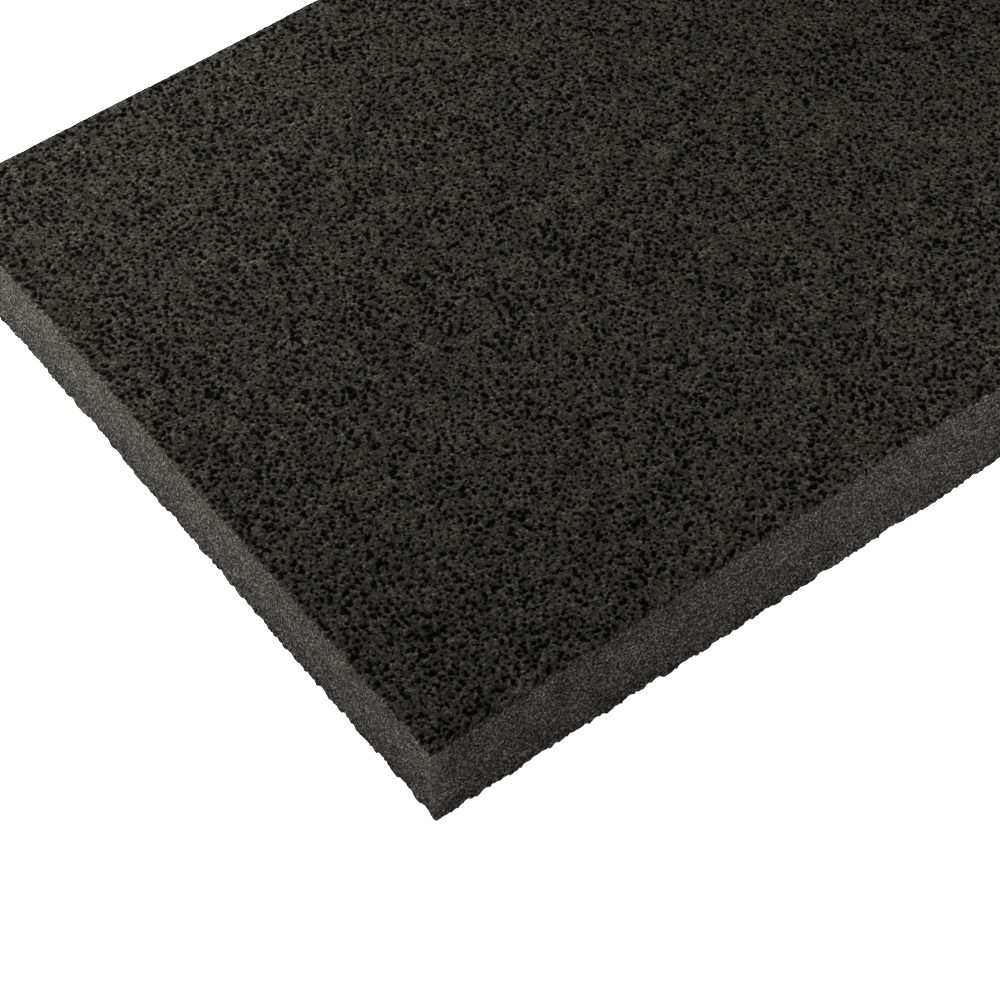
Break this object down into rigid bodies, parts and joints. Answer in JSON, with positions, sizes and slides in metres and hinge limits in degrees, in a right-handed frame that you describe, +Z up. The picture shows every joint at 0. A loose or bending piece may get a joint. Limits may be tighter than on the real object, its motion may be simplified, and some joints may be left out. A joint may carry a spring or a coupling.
{
  "type": "balance pad",
  "caption": "Thick rectangular slab of dark closed-cell foam with pitted faces, lying flat on the floor, stood on for balance exercises.",
  "frame": {"origin": "centre of the underside, on the surface that the pad lies on", "axes": "+X along the long side, +Y along the short side, +Z up through the pad's thickness"},
  "size_m": [0.5, 0.41, 0.05],
  "materials": {
    "foam_cut": "matte",
    "foam_skin": "matte"
  },
  "bodies": {
    "root": {"foam_core": "foam_cut", "bottom_skin": "foam_skin", "top_skin": "foam_skin"}
  },
  "joints": []
}
